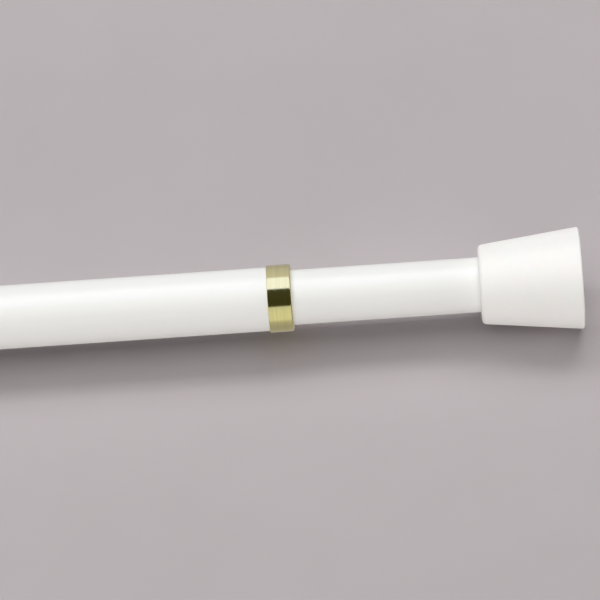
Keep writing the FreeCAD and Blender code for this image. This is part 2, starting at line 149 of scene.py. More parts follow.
# Height of a fine surface grain: soft lumps, plus rounded cells times the pits' share.
def makeGrainGroup():
    group, given, result = newGroup(
        "fineGrain",
        [("Vector", "NodeSocketVector", None), ("Scale", "NodeSocketFloat", 900.0),
         ("Pits", "NodeSocketFloat", 0.3)],
        [("Height", "NodeSocketFloat")])
    lumps = addNode(group, "ShaderNodeTexNoise", {
        "Vector": given.outputs["Vector"], "Scale": given.outputs["Scale"], "Detail": 2.0})
    cells = addNode(group, "ShaderNodeTexVoronoi", {
        "Vector": given.outputs["Vector"], "Scale": given.outputs["Scale"]}, feature="SMOOTH_F1")
    total = addNode(group, "ShaderNodeMath", {
        0: cells.outputs["Distance"], 1: given.outputs["Pits"], 2: lumps.outputs["Fac"]},
        operation="MULTIPLY_ADD")
    group.links.new(total.outputs[0], result.inputs["Height"])
    return group


mottleGroup = makeMottleGroup()
handlingGroup = makeHandlingGroup()
grainGroup = makeGrainGroup()

# stretch squeezes the patterns along X, Y and Z; scales are patterns per metre; bumpDepth is in metres
finishes = {
    "white_enamel": {
        "lightTone": (0.905, 0.908, 0.888), "darkTone": (0.897, 0.9, 0.878), "mottleScale": 22,
        "smooth": 0.28, "rough": 0.288, "stretch": (0.5, 1, 1), "handlingScale": 45,
        "grainScale": 380, "pits": 0.0, "bump": 0.006, "bumpDepth": 0.0001,
        "sockets": {"Coat Weight": 0.25, "Coat Roughness": 0.15, "IOR": 1.5},
    },
    "ivory_vinyl": {
        "lightTone": (0.93, 0.922, 0.9), "darkTone": (0.917, 0.905, 0.878), "mottleScale": 90,
        "smooth": 0.42, "rough": 0.56, "stretch": (1, 1, 1), "handlingScale": 110,
        "grainScale": 2600, "pits": 0.6, "bump": 0.16, "bumpDepth": 0.0001,
        "sockets": {"Subsurface Weight": 0.12, "Subsurface Scale": 0.002, "IOR": 1.47},
    },
    "polished_brass": {
        "lightTone": (0.9, 0.84, 0.48), "darkTone": (0.86, 0.79, 0.42), "mottleScale": 160,
        "smooth": 0.06, "rough": 0.15, "stretch": (9, 0.35, 0.35), "handlingScale": 260,
        "grainScale": 900, "pits": 0.0, "bump": 0.03, "bumpDepth": 0.0001,
        "sockets": {"Metallic": 1.0},
    },
    "white_nylon": {
        "lightTone": (0.84, 0.83, 0.79), "darkTone": (0.79, 0.78, 0.73), "mottleScale": 120,
        "smooth": 0.38, "rough": 0.52, "stretch": (1, 1, 1), "handlingScale": 150,
        "grainScale": 2200, "pits": 0.4, "bump": 0.12, "bumpDepth": 0.0001,
        "sockets": {"Subsurface Weight": 0.15, "Subsurface Scale": 0.0015, "IOR": 1.53},
    },
    "black_acetal": {
        "lightTone": (0.045, 0.045, 0.05), "darkTone": (0.028, 0.028, 0.032), "mottleScale": 140,
        "smooth": 0.26, "rough": 0.42, "stretch": (1, 1, 1), "handlingScale": 160,
        "grainScale": 2400, "pits": 0.4, "bump": 0.12, "bumpDepth": 0.0001,
        "sockets": {"IOR": 1.48},
    },
    "spring_steel": {
        "lightTone": (0.46, 0.45, 0.44), "darkTone": (0.3, 0.3, 0.31), "mottleScale": 300,
        "smooth": 0.24, "rough": 0.44, "stretch": (1, 1, 1), "handlingScale": 400,
        "grainScale": 1800, "pits": 0.2, "bump": 0.1, "bumpDepth": 0.00005,
        "sockets": {"Metallic": 1.0},
    },
    "zinc_steel": {
        "lightTone": (0.72, 0.73, 0.75), "darkTone": (0.58, 0.6, 0.64), "mottleScale": 260,
        "smooth": 0.22, "rough": 0.4, "stretch": (1, 1, 1), "handlingScale": 300,
        "grainScale": 1500, "pits": 0.5, "bump": 0.08, "bumpDepth": 0.00005,
        "sockets": {"Metallic": 1.0},
    },
}


# A finish from the three groups: drifting tone, handled roughness and a fine grain in the normal.
def makeFinish(name, look):
    material = bpy.data.materials.new(name)
    material.use_nodes = True
    tree = material.node_tree
    shader = tree.nodes["Principled BSDF"]
    origin = addNode(tree, "ShaderNodeTexCoord")
    stretched = addNode(tree, "ShaderNodeMapping", {
        "Vector": origin.outputs["Object"], "Scale": look["stretch"]})
    pattern = stretched.outputs["Vector"]
    tone = addNode(tree, "ShaderNodeGroup", {
        "Vector": pattern, "Scale": look["mottleScale"], "Light Tone": (*look["lightTone"], 1),
        "Dark Tone": (*look["darkTone"], 1)}, node_tree=mottleGroup)
    marks = addNode(tree, "ShaderNodeGroup", {
        "Vector": pattern, "Scale": look["handlingScale"], "Smooth": look["smooth"],
        "Rough": look["rough"]}, node_tree=handlingGroup)
    grain = addNode(tree, "ShaderNodeGroup", {
        "Vector": pattern, "Scale": look["grainScale"], "Pits": look["pits"]}, node_tree=grainGroup)
    bump = addNode(tree, "ShaderNodeBump", {
        "Height": grain.outputs["Height"], "Strength": look["bump"], "Distance": look["bumpDepth"]})
    tree.links.new(tone.outputs["Color"], shader.inputs["Base Color"])
    tree.links.new(marks.outputs["Roughness"], shader.inputs["Roughness"])
    tree.links.new(bump.outputs["Normal"], shader.inputs["Normal"])
    for label, value in look["sockets"].items():
        shader.inputs[label].default_value = value
    return material


finishOf = {name: makeFinish(name, look) for name, look in finishes.items()}
print("materials made:", len(finishOf))


roundLimit = 0.42       # the most of its shorter side that a round may take
justOutside = 1.15      # where the station outside a round lies, in rounds from the corner
samePlace = 1e-6        # millimetres under which two stations are one
onRadius = 1e-3         # millimetres within which a station lies on a given radius or place


# Corners of a closed outline, each eased: a parabola leaves both sides at its round's distance
# from the corner, with one more station just outside it, so that the straight runs stay flat.
def softened(corners, rounds, steps=5):
    corners = np.asarray(corners, float)
    rounds = np.broadcast_to(np.asarray(rounds, float), len(corners))
    back = np.roll(corners, 1, axis=0) - corners
    ahead = np.roll(corners, -1, axis=0) - corners
    backLength = np.linalg.norm(back, axis=1)
    aheadLength = np.linalg.norm(ahead, axis=1)
    reach = np.minimum(rounds, roundLimit * np.minimum(backLength, aheadLength))[:, None]
    back, ahead = back / backLength[:, None], ahead / aheadLength[:, None]
    share = np.linspace(0, 1, steps + 1)[None, :, None]
    start, end = (corners + back * reach)[:, None], (corners + ahead * reach)[:, None]
    middle = corners[:, None]
    curve = (1 - share) ** 2 * start + 2 * share * (1 - share) * middle + share ** 2 * end
    outer = [(corners + side * reach * justOutside)[:, None] for side in (back, ahead)]
    stations = np.concatenate([outer[0], curve, outer[1]], axis=1).reshape(-1, 2)
    gap = np.linalg.norm(stations - np.roll(stations, 1, axis=0), axis=1)
    gap[0] = 1
    return stations[gap > samePlace]


# Splits the outline's runs that lie between two places along X into even steps.
def finer(outline, step, low, high, wraps):
    ahead = np.roll(outline, -1, axis=0)
    run = ahead - outline
    inside = np.minimum(outline[:, 0], ahead[:, 0]) > low - samePlace
    inside &= np.maximum(outline[:, 0], ahead[:, 0]) < high + samePlace
    inside[-1] &= wraps
    count = np.where(inside, np.ceil(np.abs(run[:, 0]) / step), 1).astype(int).clip(1)
    which = np.repeat(np.arange(len(outline)), count)
    position = np.arange(len(which)) - np.repeat(np.cumsum(count) - count, count)
    return outline[which] + run[which] * (position / count[which])[:, None]


# A mesh from millimetres, shaded smooth up to the crease angle.
def addMesh(name, coordinates, faces, crease, recalculate=False):
    mesh = bpy.data.meshes.new(name)
    mesh.from_pydata((coordinates * millimetre).tolist(), [], faces)
    if recalculate:
        shell = bmesh.new()
        shell.from_mesh(mesh)
        bmesh.ops.recalc_face_normals(shell, faces=shell.faces)
        shell.to_mesh(mesh)
        shell.free()
    mesh.polygons.foreach_set("use_smooth", np.ones(len(mesh.polygons), bool))
    mesh.set_sharp_from_angle(angle=math.radians(crease))
    mesh.update()
    piece = bpy.data.objects.new(name, mesh)
    bpy.context.scene.collection.objects.link(piece)
    return piece


# One closed mesh from a grid of points whose columns run round the piece. Where the rows don't
# wrap, each end row closes on its middle point. The signed volume, the sum over triangles of
# a . (b x c), says which way the faces have to turn to point outwards.
def addSurface(name, grid, wraps, crease=38):
    points, poles = grid, []
    if not wraps:
        poles = [grid[0].mean(axis=0), grid[-1].mean(axis=0)]
        isPoint = np.ptp(grid, axis=1).max(axis=1) < samePlace
        points = grid[int(isPoint[0]):len(grid) - int(isPoint[-1])]
    rows, columns = points.shape[:2]
    index = np.arange(rows * columns).reshape(rows, columns)
    here = index if wraps else index[:-1]
    there = np.roll(index, -1, axis=0) if wraps else index[1:]
    corners = [here, there, np.roll(there, -1, axis=1), np.roll(here, -1, axis=1)]
    quads = np.stack(corners, axis=-1).reshape(-1, 4)
    coordinates = points.reshape(-1, 3)
    fans = np.zeros((0, 3), int)
    if not wraps:
        near, far = index[0], index[-1]
        nearPole, farPole = len(coordinates), len(coordinates) + 1
        coordinates = np.vstack([coordinates, poles])
        fans = np.vstack([
            np.stack([near, np.roll(near, -1), np.full(columns, nearPole)], axis=-1),
            np.stack([np.roll(far, -1), far, np.full(columns, farPole)], axis=-1)])
    triangles = np.vstack([quads[:, [0, 1, 2]], quads[:, [0, 2, 3]], fans])
    first, second, third = (coordinates[triangles[:, corner]] for corner in range(3))
    if np.einsum("ij,ij->i", first, np.cross(second, third)).sum() < 0:
        quads, fans = quads[:, ::-1], fans[:, ::-1]
    return addMesh(name, coordinates, quads.tolist() + fans.tolist(), crease)


# Points about the X axis: (along, radius cos angle, radius sin angle).
def aboutAxis(along, radius, angle):
    along, radius, angle = np.broadcast_arrays(along, radius, angle)
    return np.stack([along, radius * np.cos(angle), radius * np.sin(angle)], axis=-1)


# A turned piece: each (along, radius) station of its outline is carried round X through the
# given angles. radiusAt(outline, angles) may vary the radius round the piece.
def turnedGrid(outline, angles, radiusAt=None):
    radius = outline[:, 1:] if radiusAt is None else radiusAt(outline, angles)
    return aboutAxis(outline[:, :1], radius, angles)


# Angles of so many columns, evenly round the axis.
def evenTurn(columns):
    return fullTurn * np.arange(columns) / columns


# Where a node starts and where it ends along the rod.
def startOf(node):
    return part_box(node)[0].x / millimetre


def endOf(node):
    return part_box(node)[1].x / millimetre


# Largest distance of a node's vertices from the rod's axis: the true radius of a round solid,
# which the box of a coarse mesh would understate.
def radiusOf(node):
    mesh = nodes[node].data
    flat = np.empty(len(mesh.vertices) * 3, np.float32)
    mesh.vertices.foreach_get("co", flat)
    return float(np.hypot(flat[1::3], flat[2::3]).max()) / millimetre


# Gives a piece its finish, the body it moves with and the node it stands for.
def place(piece, body, finish, node):
    piece.data.materials.append(finishOf[finish])
    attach(piece, body)
    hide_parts(node)


tubes = {
    "wall": 0.5, "endRound": 0.16, "columns": 144,
    "seamAngle": 305, "seamWidth": 0.7, "seamDepth": 0.05, "seamSpread": 7, "seamColumns": 25,
    "seamMargin": 1.2, "skinShare": 0.6,
    "crimpOffset": 6.0, "crimpWidth": 2.4, "crimpDepth": 0.35, "crimpRound": 0.6,
}


# Even angles round the tube, with closer ones about its welded seam.
def tubeAngles():
    seam, spread = math.radians(tubes["seamAngle"]), math.radians(tubes["seamSpread"])
    close = seam + np.linspace(-spread, spread, tubes["seamColumns"])
    even = evenTurn(tubes["columns"])
    away = np.abs((even - seam + math.pi) % fullTurn - math.pi) > tubes["seamMargin"] * spread
    return np.sort(np.concatenate([even[away], close]) % fullTurn)


# Rolled and welded tube: radius = the tube's radius, less a shallow bell exp(-(2 s / w)^2) at
# the distance s from the seam's line.
def makeTube(name, node, body, crimped):
    start, end, radius = startOf(node), endOf(node), radiusOf(node)
    stations = [(start, radius)]
    if crimped:
        near, width = start + tubes["crimpOffset"], tubes["crimpWidth"]
        stations += [(near, radius), (near + width / 2, radius - tubes["crimpDepth"]),
                     (near + width, radius)]
    stations.append((end, radius))
    corners = stations + [(along, outside - tubes["wall"]) for along, outside in stations[::-1]]
    rounds = np.full(len(corners), tubes["crimpRound"])
    rounds[[0, len(stations) - 1, len(stations), -1]] = tubes["endRound"]
    angles = tubeAngles()
    fromSeam = (angles - math.radians(tubes["seamAngle"]) + math.pi) % fullTurn - math.pi
    bell = tubes["seamDepth"] * np.exp(-(2 * fromSeam * radius / tubes["seamWidth"]) ** 2)

    def withSeam(outline, angles):
        onOutside = outline[:, 1:] > radius - tubes["skinShare"] * tubes["wall"]
        return outline[:, 1:] - onOutside * bell

    piece = addSurface(name, turnedGrid(softened(corners, rounds), angles, withSeam), True)
    place(piece, body, "white_enamel", node)


makeTube("outerTubePainted", "outer_tube", "outer", False)
makeTube("innerTubePainted", "inner_tube", "sliding_end", True)
print("tubes made")

ring = {
    "wall": 0.42, "lip": 0.5, "lipBore": 7.01, "rearRound": 0.16, "frontRound": 0.9,
    "boreRound": 0.2, "skirtRound": 0.1, "columns": 192,
}


# Spun ferrule: a thin skirt whose front rolls over the tube's mouth into an eased lip.
def makeTrimRing():
    start, end, outside = startOf("trim_ring"), endOf("trim_ring"), radiusOf("trim_ring")
    skirt, shoulder = outside - ring["wall"], end - ring["lip"]
    corners = [(start, skirt), (start, outside), (end, outside), (end, ring["lipBore"]),
               (shoulder, ring["lipBore"]), (shoulder, skirt)]
    rounds = [ring["skirtRound"], ring["rearRound"], ring["frontRound"], ring["boreRound"],
              ring["boreRound"], 0]
    outline = softened(corners, rounds, steps=10)
    piece = addSurface("trimRingBrass", turnedGrid(outline, evenTurn(ring["columns"])), True)
    place(piece, "outer", "polished_brass", "trim_ring")


makeTrimRing()

tip = {
    "length": 25.4, "faceRadius": 12.758, "mouthRadius": 9.815, "floor": 3.4,
    "faceRound": 0.9, "mouthRound": 2.1, "socketRound": 0.3, "socketRoom": 0.02,
    "grooveRadii": (3.5, 6.1, 8.7), "grooveWidth": 0.9, "grooveDepth": 0.4, "grooveRound": 0.15,
    "gateRadius": 1.2, "gateTaper": 0.8, "gateDepth": 0.5, "gateRounds": (0, 0.1, 0.2), "columns": 160,
}


# Blunt cone with a socket: the outline runs from the wall face's middle, over its grip grooves,
# round the rim, down the cone, over the eased mouth and into the socket.
def makeTip(name, node, body, tubeNode, wallFace, direction):
    half, socket = tip["grooveWidth"] / 2, radiusOf(tubeNode) + tip["socketRoom"]
    corners = [(tip["gateDepth"], 0), (tip["gateDepth"], tip["gateRadius"] * tip["gateTaper"]),
               (0, tip["gateRadius"])]
    rounds = list(tip["gateRounds"])
    for radius in tip["grooveRadii"]:
        corners += [(0, radius - half), (tip["grooveDepth"], radius - half / 2),
                    (tip["grooveDepth"], radius + half / 2), (0, radius + half)]
        rounds += [tip["grooveRound"]] * 4
    corners += [(0, tip["faceRadius"]), (tip["length"], tip["mouthRadius"]),
                (tip["length"], socket), (tip["floor"], socket), (tip["floor"], 0)]
    rounds += [tip["faceRound"], tip["mouthRound"], tip["socketRound"], 0, 0]
    outline = softened(corners, rounds, steps=8)
    outline[:, 0] = wallFace + direction * outline[:, 0]
    piece = addSurface(name, turnedGrid(outline, evenTurn(tip["columns"])), False)
    place(piece, body, "ivory_vinyl", node)


makeTip("fixedTipVinyl", "fixed_end_tip", "outer", "outer_tube", startOf("fixed_end_tip"), 1)
makeTip("slidingTipVinyl", "sliding_end_tip", "sliding_end", "inner_tube",
        endOf("sliding_end_tip"), -1)
print("ring and tips made")

thread = {"pitch": 3.0, "depth": 0.75, "stations": 14}
hexagon = {"flats": 3.5, "cornerRound": 0.15, "boreRoom": 0.0693, "boreBelow": 4.0}
sixthTurn = fullTurn / 6


# Depth of a right-hand thread: crest, flank and root by the phase along / pitch - turn,
# faded in over the first half turn and out over the last.
def threadCut(along, angles, pitch, depth, low, high):
    phase = (along / pitch - angles / fullTurn) % 1
    shape = np.clip(2 - 3 * np.abs(2 * phase - 1), 0, 1)
    fade = np.clip(2 * (along - low) / pitch, 0, 1) * np.clip(2 * (high - along) / pitch, 0, 1)
    return depth * shape * fade


# Radius of a hexagon with corners up and down, flats / cos(angle from the nearest flat's middle);
# a share of 0 leaves it round.
def hexagonal(flats, angles, share=1.0):
    across = (angles + sixthTurn / 2) % sixthTurn - sixthTurn / 2
    return flats / (1 - share + share * np.cos(across))


# A turned piece from corners given after its node's start; a radius under hexBelow is taken
# as a hexagon's flats.
def makeTurned(name, node, body, finish, corners, rounds, hexBelow=0.0, wraps=True, columns=96):
    outline = softened(corners, rounds) + [startOf(node), 0]

    def bored(outline, angles):
        return hexagonal(outline[:, 1:], angles, (outline[:, 1:] < hexBelow).astype(float))

    piece = addSurface(name, turnedGrid(outline, evenTurn(columns), bored), wraps)
    place(piece, body, finish, node)


# a piece's rounds follow the order of its outline's corners
liner = {"bore": 6.93, "outside": 7.4175, "length": 22.0, "flange": 7.9375, "thickness": 0.6,
         "rounds": (0.2, 0.12, 0, 0.1, 0.1, 0.3)}
discs = {"thickness": 1.0, "floorRound": 0.3, "tubeRound": 0.12}
bushing = {"flange": 7.3575, "thickness": 2.0, "neck": 6.33, "end": 16.0,
           "crimpStart": 8.0, "crimpWidth": 2.4, "crimpDepth": 0.35,
           "rounds": (0.3, 0.3, 0.2, 0, 0.5, 0.5, 0.5, 0.4, 0.3)}
washers = {
    "thrust_washer": {"name": "thrustWasherZinc", "body": "lock_shaft", "outside": 6.7, "bore": 4.28},
    "stop_washer": {"name": "stopWasherZinc", "body": "lock_shaft", "outside": 5.5, "bore": 1.52},
    "collar_washer": {"name": "collarWasherZinc", "body": "lock_shaft", "outside": 6.7},
    "bushing_washer": {"name": "bushingWasherZinc", "body": "sliding_end", "outside": 6.7},
    "buffer_washer": {"name": "bufferWasherNylon", "body": "lock_shaft", "outside": 5.8,
                      "thickness": 1.2, "rounds": (0.2, 0.35, 0.35, 0.2), "finish": "white_nylon"},
}
stampedRounds = (0.12, 0.28, 0.08, 0.06)     # a punch rounds one side of a washer more
stampedThickness = 0.8
hexBore = hexagon["flats"] + hexagon["boreRoom"]


# Flanged bush in the outer tube's mouth.
def makeLiner():
    length, end = liner["length"], liner["length"] + liner["thickness"]
    corners = [(0, liner["bore"]), (0, liner["outside"]), (length, liner["outside"]),
               (length, liner["flange"]), (end, liner["flange"]), (end, liner["bore"])]
    makeTurned("mouthLinerNylon", "mouth_liner", "outer", "white_nylon", corners, liner["rounds"],
               columns=144)


# Steel disc behind a tip's floor, its face to the vinyl rounded more than its face to the tube.
def makeDisc(name, node, body, tubeSide):
    radius, thickness = radiusOf(node), discs["thickness"]
    edges = [discs["tubeRound"], discs["floorRound"]]
    rounds = [0] + (edges if tubeSide < 0 else edges[::-1]) + [0]
    corners = [(0, 0), (0, radius), (thickness, radius), (thickness, 0)]
    makeTurned(name, node, body, "zinc_steel", corners, rounds, wraps=False)


# Flanged bushing with a hexagonal bore; the crimp's groove is a V pressed into its neck.
def makeBushing():
    flange, neck, end = bushing["thickness"], bushing["neck"], bushing["end"]
    crimp, width = bushing["crimpStart"], bushing["crimpWidth"]
    corners = [(0, hexBore), (0, bushing["flange"]), (flange, bushing["flange"]), (flange, neck),
               (crimp, neck), (crimp + width / 2, neck - bushing["crimpDepth"]),
               (crimp + width, neck), (end, neck), (end, hexBore)]
    makeTurned("guideBushingNylon", "guide_bushing", "sliding_end", "white_nylon", corners,
               bushing["rounds"], hexBelow=hexagon["boreBelow"])


makeLiner()
makeDisc("fixedDiscZinc", "fixed_end_disc", "outer", 1)
makeDisc("slidingDiscZinc", "sliding_end_disc", "sliding_end", -1)
makeBushing()
for node, washer in washers.items():
    bore, thickness = washer.get("bore", hexBore), washer.get("thickness", stampedThickness)
    corners = [(0, bore), (0, washer["outside"]), (thickness, washer["outside"]), (thickness, bore)]
    makeTurned(washer["name"], node, washer["body"], washer.get("finish", "zinc_steel"), corners,
               washer.get("rounds", stampedRounds),
               hexBelow=0.0 if "bore" in washer else hexagon["boreBelow"])
print("liner, discs, bushing and washers made")

shaft = {
    "hole": 1.52, "holeEnd": 8.2, "screw": 4.0, "screwEnd": 22.5, "threadStart": 0.6,
    "journal": 4.2, "collarNear": 34.3, "collarFar": 36.8, "collar": 6.7,
    "seat": 2.8, "seatStart": 101.6, "seatEnd": 102.4, "tailStart": 104.4, "tail": 2.9, "end": 105.0,
    "rounds": (0, 0, 0.2, 0.5, 0, 0.1, 0.3, 0.3, 0.3, 0.25, 0.1, 0, 0, 0.1, 0.2, 0.2, 0),
    "finerFrom": 0.8,                         # where the thread's close stations start
    "overSeat": 1.02, "overFlats": 1.01,      # shares between which a radius is the hexagon's
    "columns": 120,
}


# Screw, journal, collar and hexagonal plunger in one: the radius of each station, less the
# thread's cut, and on the plunger the hexagon's radius, cut off at its rounded corners.
def makeLockShaft():
    screw, journal, collar, seat = (shaft[key] for key in ("screw", "journal", "collar", "seat"))
    flats, screwEnd, end = hexagon["flats"], shaft["screwEnd"], shaft["end"]
    near, far = shaft["collarNear"], shaft["collarFar"]
    seatStart, seatEnd = shaft["seatStart"], shaft["seatEnd"]
    corners = [(shaft["holeEnd"], 0), (shaft["holeEnd"], shaft["hole"]), (0, shaft["hole"]), (0, screw),
               (screwEnd, screw), (screwEnd, journal), (near, journal), (near, collar),
               (far, collar), (far, flats), (seatStart, flats), (seatStart, seat),
               (seatEnd, seat), (seatEnd, flats), (shaft["tailStart"], flats), (end, shaft["tail"]),
               (end, 0)]
    outline = softened(corners, shaft["rounds"])
    outline = finer(outline, thread["pitch"] / thread["stations"], shaft["finerFrom"], screwEnd, False)
    start = startOf("lock_shaft")
    corner = flats / math.cos(sixthTurn / 2) - hexagon["cornerRound"]

    def cut(outline, angles):
        along, radius = outline[:, :1], outline[:, 1:]
        depth = threadCut(along + start, angles, thread["pitch"], thread["depth"],
                          start + shaft["threadStart"], start + screwEnd)
        radius = radius - (np.abs(radius - screw) < onRadius) * depth
        onPlunger = (along > far) & (along < shaft["tailStart"] + onRadius)
        onFlats = (radius > seat * shaft["overSeat"]) & (radius < flats * shaft["overFlats"])
        return np.where(onPlunger & onFlats, np.minimum(hexagonal(radius, angles), corner), radius)

    grid = turnedGrid(outline, evenTurn(shaft["columns"]), cut) + [start, 0, 0]
    place(addSurface("lockShaftAcetal", grid, False, crease=32), "lock_shaft", "black_acetal",
          "lock_shaft")


makeLockShaft()

wedge = {
    "length": 13.0, "large": 6.84, "small": 5.28, "bore": 4.08, "boreRound": 0.5, "rimRound": 0.3,
    "keys": 4, "keyHalf": 0.7, "keyTop": 7.1375, "keyMargin": 0.14, "columnsBetween": 26,
    "boreSkin": 0.8, "footRoom": 1.001, "boreEdge": 0.7, "threadPast": 1000,
}


# Threaded cone with keys. Beside the plain columns, each key has four: two on the cone and two
# raised to the key's top, at angles whose sine is the key's half width over the radius, so that
# its sides are flat.
def makeWedgeNut():
    start, bore, large, length = startOf("wedge_nut"), wedge["bore"], wedge["large"], wedge["length"]
    corners = [(0, bore), (0, large), (length, wedge["small"]), (length, bore)]
    rounds = [wedge["boreRound"], wedge["rimRound"], wedge["rimRound"], wedge["boreRound"]]
    outline = finer(softened(corners, rounds), thread["pitch"] / thread["stations"], 0, length, True)
    along, radius = outline[:, :1], outline[:, 1:]
    isOutside = radius > bore + wedge["boreSkin"]
    cone = large + (wedge["small"] - large) * along / length
    top = np.where(isOutside, radius + wedge["keyTop"] - cone, radius)
    foot = np.arcsin(wedge["keyHalf"] / radius) * wedge["footRoom"]
    edge = np.where(isOutside, np.arcsin(wedge["keyHalf"] / top), wedge["boreEdge"] * foot)
    keyTurn = fullTurn / wedge["keys"]
    plain = np.linspace(wedge["keyMargin"], keyTurn - wedge["keyMargin"], wedge["columnsBetween"])
    angles, radii = [], []
    for turn in keyTurn * np.arange(wedge["keys"]):
        angles += [turn - foot, turn - edge, turn + edge, turn + foot, turn + plain + 0 * along]
        radii += [radius, top, top, radius, radius + 0 * plain]
    angles, radii = np.hstack(angles), np.hstack(radii)
    past = wedge["threadPast"]                # the thread runs out through both ends, unfaded
    cut = threadCut(along + start, angles, thread["pitch"], thread["depth"], start - past, start + past)
    radii = np.where(radius < bore + onRadius, radii - cut, radii)
    piece = addSurface("wedgeNutAcetal", aboutAxis(along + start, radii, angles), True, crease=32)
    place(piece, "wedge", "black_acetal", "wedge_nut")


makeWedgeNut()

sleeve = {
    "length": 26.0, "outside": 7.3975, "bore": 4.28, "mouth": 6.4, "throat": 4.6, "taperEnd": 15.0,
    "slots": 4, "slotHalf": 0.8, "slotEnd": 19.0, "fingerColumns": 23,
    "ribs": 11, "ribPitch": 1.5, "ribStart": 1.8, "grooveDepth": 0.16,
    "grooveOutline": ((0, 0), (0.25, 1), (0.45, 1), (0.7, 0)),
    "mouthRounds": (0.25, 0.4), "grooveRound": 0.06, "rearRounds": (0, 0.4, 0.2, 0, 0.15, 0.15),
}


# Slotted sleeve: its section carried round in four fingers, whose edges keep half the slot's width
# from a plane through the axis; past the slots' ends the same columns join into one ring.
def makeSleeve():
    start, outside, slotEnd = startOf("expander_sleeve"), sleeve["outside"], sleeve["slotEnd"]
    grooves = [(sleeve["ribStart"] + rib * sleeve["ribPitch"] + along,
                outside - sleeve["grooveDepth"] * down)
               for rib in range(sleeve["ribs"]) for along, down in sleeve["grooveOutline"]]
    corners = [(0, sleeve["mouth"]), (0, outside)] + grooves + [
        (slotEnd, outside), (sleeve["length"], outside), (sleeve["length"], sleeve["bore"]),
        (slotEnd, sleeve["bore"]), (sleeve["taperEnd"], sleeve["bore"]),
        (sleeve["taperEnd"], sleeve["throat"])]
    rounds = [*sleeve["mouthRounds"], *[sleeve["grooveRound"]] * len(grooves), *sleeve["rearRounds"]]
    outline = softened(corners, rounds, steps=4)
    along, radius = outline[:, :1], outline[:, 1:]
    edge = np.arcsin(sleeve["slotHalf"] / radius)
    finger = fullTurn / sleeve["slots"]
    share = np.linspace(0, 1, sleeve["fingerColumns"])
    angles = np.hstack([turn * finger + edge + (finger - 2 * edge) * share
                        for turn in range(sleeve["slots"])])
    rows, columns = angles.shape
    index = np.arange(rows * columns).reshape(rows, columns)
    ahead, beside = np.roll(index, -1, axis=0), np.roll(index, -1, axis=1)
    quads = np.stack([index, ahead, np.roll(ahead, -1, axis=1), beside], axis=-1)
    inSlot = along[:, 0] < slotEnd + onRadius
    lastOfFinger = np.arange(columns) % len(share) == len(share) - 1
    isGap = (inSlot & np.roll(inSlot, -1))[:, None] & lastOfFinger[None, :]
    faces = quads[~isGap].tolist()
    section = np.flatnonzero(inSlot)
    breakAt = int(np.argmax(np.diff(section))) + 1 if np.diff(section).max() > 1 else 0
    section = np.roll(section, -breakAt)      # from the bore's slot end, over the mouth, to the outside
    for column in range(0, columns, len(share)):
        first, last = index[section, column], index[section, column - 1]
        faces += [first.tolist(), last[::-1].tolist(), [first[0], first[-1], last[-1], last[0]]]
    coordinates = aboutAxis(along + start, radius, angles).reshape(-1, 3)
    piece = addMesh("expanderSleeveNylon", coordinates, faces, crease=32, recalculate=True)
    place(piece, "lock_sleeve", "white_nylon", "expander_sleeve")


makeSleeve()
print("lock shaft, wedge nut and sleeve made")

screw = {
    "head": 2.85, "headHeight": 1.65, "socketFlats": 1.0, "socketDepth": 1.04,
    "shank": 1.5, "end": 9.65, "pitch": 0.5, "depth": 0.26, "stations": 10, "columns": 48,
    "rounds": (0, 0, 0.08, 0.75, 0.12, 0.1, 0.3, 0),        # the largest is the head's dome
    "finerFrom": 0.1, "threadFrom": 0.2,      # from the head's underside
    "overSocket": 1.15, "underShank": 0.99,   # shares that bound the socket's and the thread's radii
}


# Button head with a hexagonal socket; the shank's radius is less its fine thread's cut.
def makeStopScrew():
    start, flats, depth = startOf("stop_screw"), screw["socketFlats"], screw["socketDepth"]
    head, height, shank, end = screw["head"], screw["headHeight"], screw["shank"], screw["end"]
    corners = [(depth, 0), (depth, flats), (0, flats), (0, head), (height, head),
               (height, shank), (end, shank), (end, 0)]
    outline = softened(corners, screw["rounds"], steps=6)
    outline = finer(outline, screw["pitch"] / screw["stations"], height + screw["finerFrom"], end, False)

    def cut(outline, angles):
        along, radius = outline[:, :1], outline[:, 1:]
        inSocket = (radius < flats * screw["overSocket"]) & (along < depth + onRadius)
        inThread = (along > height + screw["threadFrom"]) & (radius > shank * screw["underShank"])
        turned = threadCut(along, angles, screw["pitch"], screw["depth"], height, end)
        return hexagonal(radius, angles, inSocket) - inThread * turned

    grid = turnedGrid(outline, evenTurn(screw["columns"]), cut) + [start, 0, 0]
    place(addSurface("stopScrewZinc", grid, False), "lock_shaft", "zinc_steel", "stop_screw")


makeStopScrew()

clip = {
    "bore": 2.82, "outside": 5.5, "thickness": 0.8, "openingHalf": 2.397, "edgeRound": 0.12,
    "notch": 1.1, "notchAngle": 126.87, "stations": 161,
}


